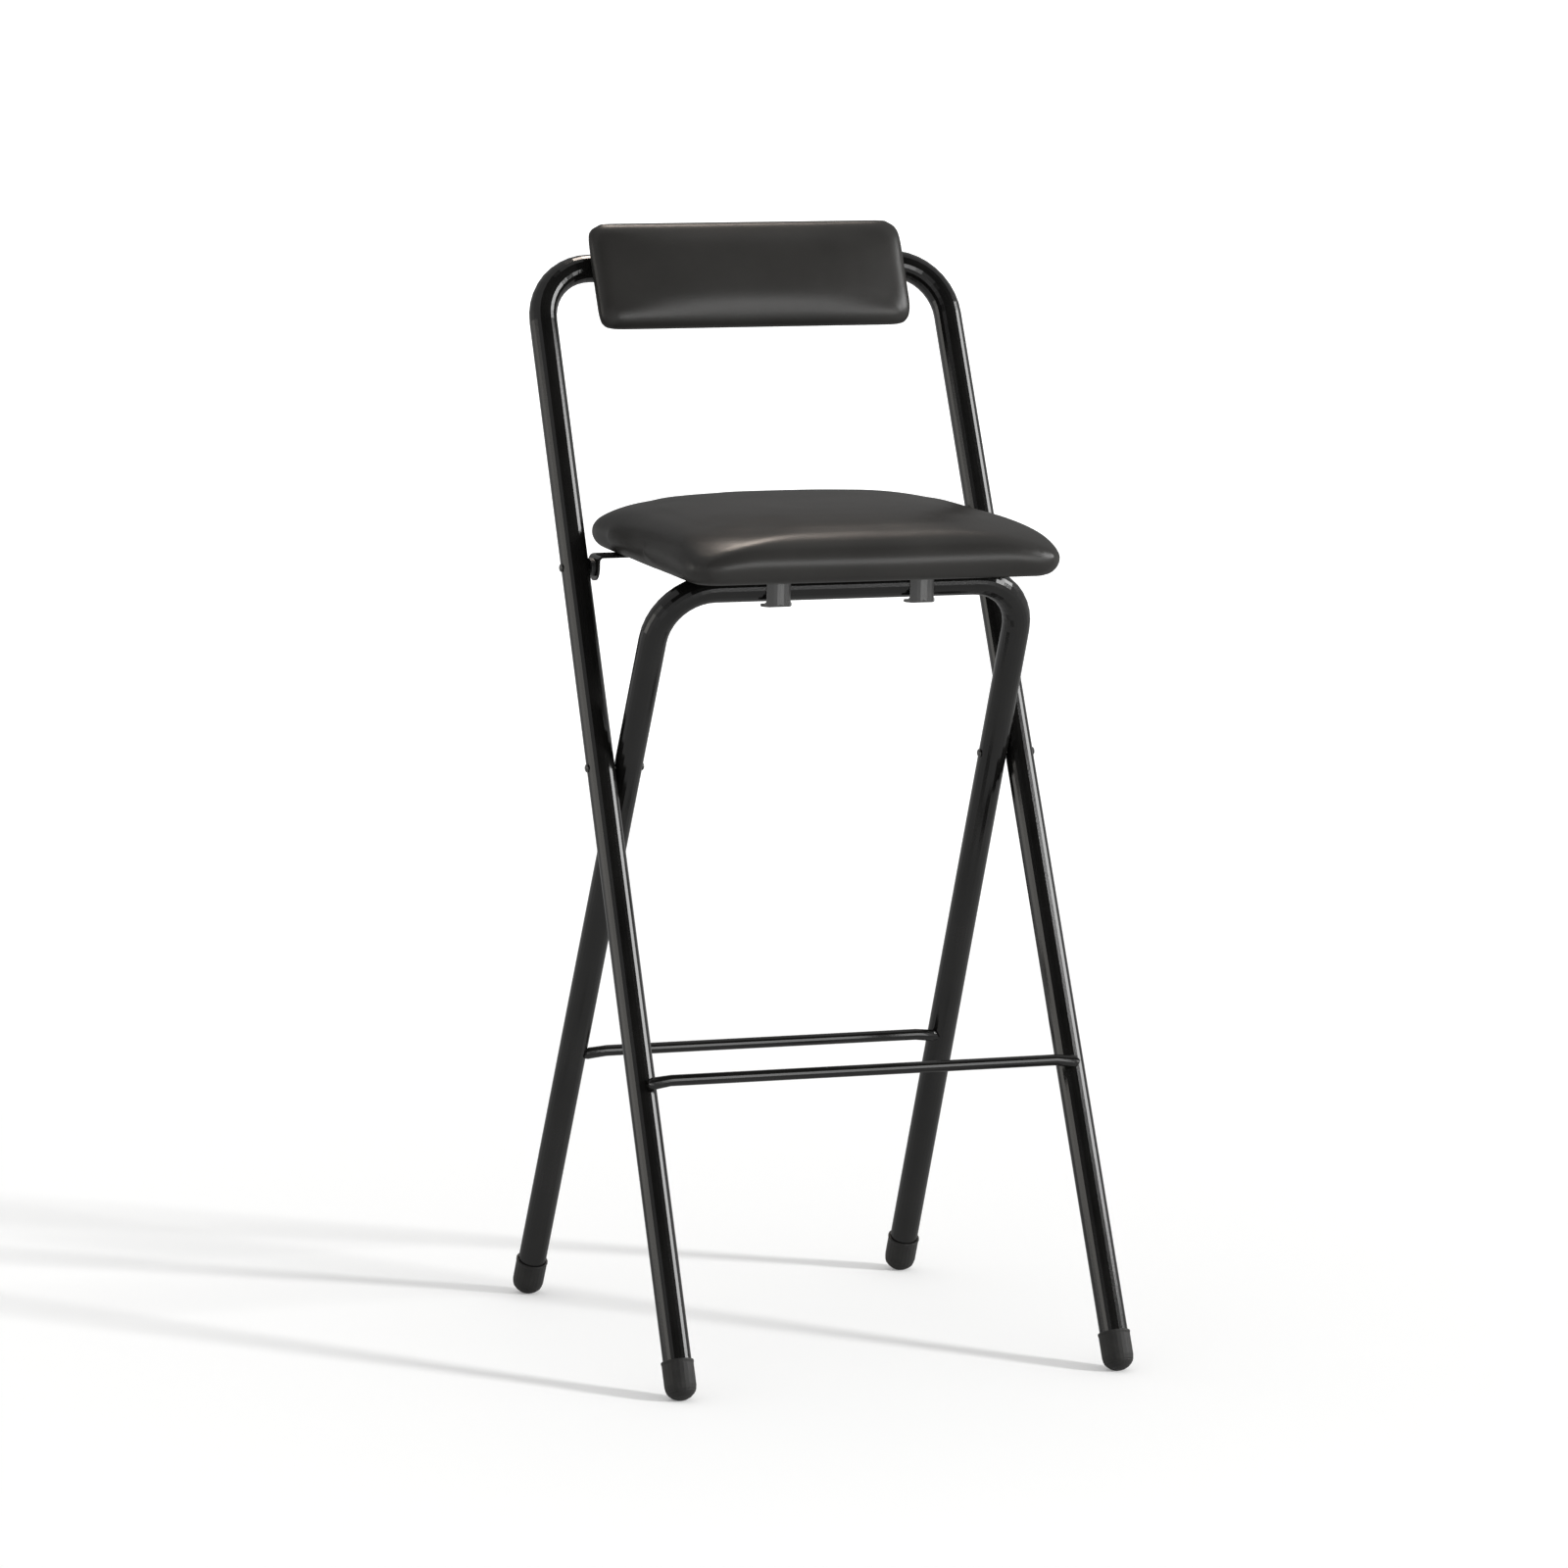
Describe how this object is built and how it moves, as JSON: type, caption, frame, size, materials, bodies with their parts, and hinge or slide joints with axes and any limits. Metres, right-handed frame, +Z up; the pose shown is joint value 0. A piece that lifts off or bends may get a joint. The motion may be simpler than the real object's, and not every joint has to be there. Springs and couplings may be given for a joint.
{
  "type": "folding bar stool",
  "caption": "Folding bar stool: two crossed bent-tube frames, a padded seat that flips up and a padded backrest.",
  "frame": {"origin": "on the floor, in the middle of the stool's bounding box", "axes": "+Z up, the sitter faces -Y, +X to the sitter's right seen from the front of the stool"},
  "size_m": [0.4394, 0.4671, 0.9695],
  "materials": {
    "frame_paint": "glossy black powder coat",
    "seat_leather": "smooth black synthetic leather, satin",
    "foot_rubber": "matte black",
    "hook_plastic": "moulded black",
    "washer_nylon": "moulded black",
    "fastener_steel": "blackened steel",
    "board_wood": "dark lining cloth over plywood"
  },
  "bodies": {
    "back_frame": {"back_frame_tube": "frame_paint", "front_footrest_bar": "frame_paint", "front_foot_cap_left": "foot_rubber", "front_foot_cap_right": "foot_rubber", "frame_pivot_rivet_left": "fastener_steel", "frame_pivot_rivet_right": "fastener_steel", "seat_pivot_rivet_left": "fastener_steel", "seat_pivot_rivet_right": "fastener_steel", "seat_pivot_washer_left": "washer_nylon", "seat_pivot_washer_right": "washer_nylon", "backrest_board": "board_wood", "backrest_pad": "seat_leather", "backrest_screw_1": "fastener_steel", "backrest_screw_2": "fastener_steel"},
    "seat_frame": {"seat_frame_tube": "frame_paint", "rear_cross_bar": "frame_paint", "rear_foot_cap_left": "foot_rubber", "rear_foot_cap_right": "foot_rubber"},
    "seat": {"seat_bracket": "frame_paint", "seat_hook_left": "hook_plastic", "seat_hook_right": "hook_plastic", "seat_board": "board_wood", "seat_cushion": "seat_leather", "bracket_screw_1": "fastener_steel", "bracket_screw_2": "fastener_steel", "bracket_screw_3": "fastener_steel", "bracket_screw_4": "fastener_steel", "hook_screw_1": "fastener_steel", "hook_screw_2": "fastener_steel", "hook_screw_3": "fastener_steel", "hook_screw_4": "fastener_steel"}
  },
  "joints": [
    {"name": "frame_fold", "type": "hinge", "parent": "back_frame", "child": "seat_frame", "pos_m": [0, 0.0179, 0.513], "axis": [-1, 0, 0], "range_deg": [0, 45]},
    {"name": "seat_flip", "type": "hinge", "parent": "back_frame", "child": "seat", "pos_m": [0, 0.09659, 0.6792], "axis": [-1, 0, 0], "range_deg": [0, 90]}
  ],
  "couplings": [
    {"joint": "seat_flip", "follows": "frame_fold", "ratio": 2}
  ]
}
